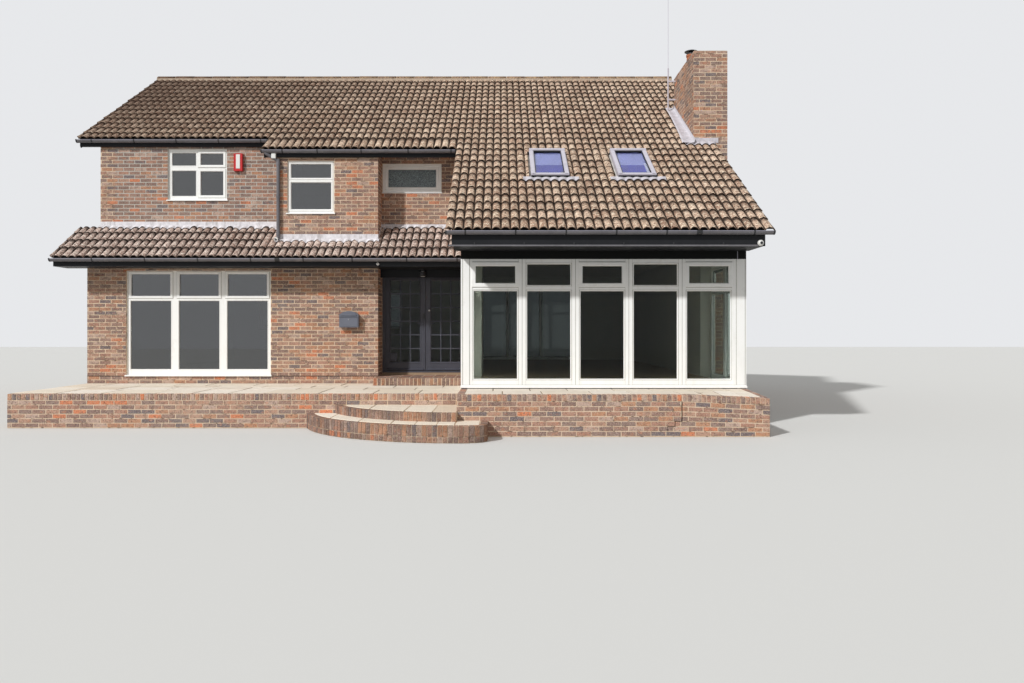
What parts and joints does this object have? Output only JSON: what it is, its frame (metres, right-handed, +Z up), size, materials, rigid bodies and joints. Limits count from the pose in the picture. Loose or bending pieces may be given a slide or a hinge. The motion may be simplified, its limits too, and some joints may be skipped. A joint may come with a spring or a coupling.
{
  "type": "detached house",
  "caption": "Detached brick house with a stepped tiled roof, a long slope over a glazed garden room, and glazed entrance doors that open.",
  "frame": {"origin": "on the ground, midway along the front and under the ridge", "axes": "+Z up, +X along the front to the right as seen from the garden, +Y from the front to the back"},
  "size_m": [13.03, 13.2122, 9.3],
  "materials": {
    "brick": "multi-coloured orange, brown and grey facing brick with buff mortar",
    "brick_paving": "weathered brick on edge",
    "stone": "weathered buff sandstone slabs",
    "screed": "plain floor",
    "tile": "weathered brown and buff concrete roof tiles with lichen",
    "timber": "sawn timber",
    "dark": "anthracite boards and gutters",
    "door": "anthracite door leaves and frame",
    "white": "white window frames",
    "glass": "clear double glazing",
    "lead": "weathered lead sheet",
    "metal": "grey coated metal",
    "black": "black coated metal",
    "terracotta": "plain clay",
    "pale": "pale casing"
  },
  "bodies": {
    "house": {"ground_floor": "screed", "first_floor": "screed", "front_wall_ground": "brick", "entrance_return_wall": "brick", "entrance_wall": "brick", "upper_wall_left": "brick", "upper_wall_middle": "brick", "garden_room_left_wall": "brick", "left_gable_wall": "brick", "right_gable_wall": "brick", "rear_wall": "brick", "garden_room_base": "brick", "paving": "stone", "garden_room_frame": "white", "garden_room_side_frames": "white", "garden_room_beam": "dark", "garden_room_glass": "glass", "front_rafters": "timber", "rear_rafters": "timber", "front_tiles": "tile", "rear_tiles": "tile", "lean_to_roof": "tile", "ridge_tiles": "tile", "rooflights": "metal", "rooflight_glass": "glass", "chimney_stack": "brick", "chimney_pot": "terracotta", "chimney_cowl": "black", "lead_flashings": "lead", "aerial": "metal", "eaves_boards": "dark", "gutters": "dark", "downpipes": "dark", "front_window_frames": "white", "tall_window_frame": "white", "rear_window_frames": "white", "front_window_glass": "glass", "rear_window_glass": "glass", "door_frame": "door", "terrace": "brick_paving", "entrance_steps": "brick_paving", "letter_box": "black", "alarm_box": "pale", "porch_lamp": "black", "security_camera": "pale"},
    "door_left": {"front_door_left": "door", "door_glass_left": "glass"},
    "door_right": {"front_door_right": "door", "door_glass_right": "glass"}
  },
  "joints": [
    {"name": "front_door_left_hinge", "type": "hinge", "parent": "house", "child": "door_left", "pos_m": [-0.332, -3.827, 1.776], "axis": [0, 0, 1], "range_deg": [0, 90]},
    {"name": "front_door_right_hinge", "type": "hinge", "parent": "house", "child": "door_right", "pos_m": [1.312, -3.827, 1.776], "axis": [0, 0, -1], "range_deg": [0, 90]}
  ]
}
